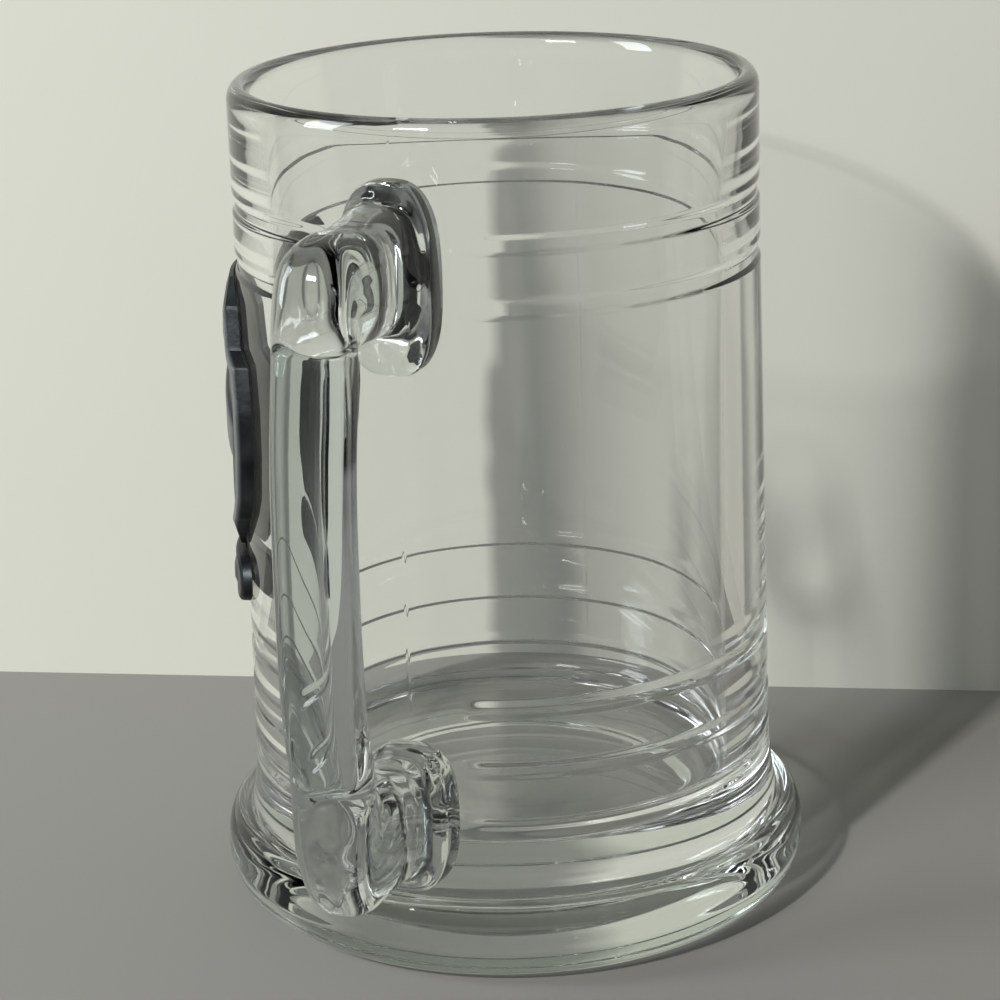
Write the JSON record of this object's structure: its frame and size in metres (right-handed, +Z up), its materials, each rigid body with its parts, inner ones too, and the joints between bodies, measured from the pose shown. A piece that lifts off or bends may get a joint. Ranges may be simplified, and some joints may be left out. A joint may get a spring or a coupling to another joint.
{
  "type": "glass beer mug",
  "caption": "Clear glass tankard mug with ring grooves, a heavy rounded foot, an applied loop handle and a curved cast badge on the side.",
  "frame": {"origin": "on the mug's axis, in the plane of the ring that it stands on", "axes": "+Z up along the mug's axis, +X towards the handle, -Y towards the badge"},
  "size_m": [0.1307, 0.1, 0.14],
  "materials": {
    "body_glass": "clear fire-polished soda-lime glass with a very faint grey-green tint",
    "handle_glass": "clear pressed glass, fire-polished",
    "pewter": "cast pewter with a dark antique patina, brighter on the edges",
    "adhesive": "cured grey epoxy film"
  },
  "bodies": {
    "root": {"glass_body": "body_glass", "glass_handle": "handle_glass", "emblem_shield": "pewter", "emblem_bar": "pewter", "shield_adhesive": "adhesive", "bar_adhesive": "adhesive"}
  },
  "joints": []
}
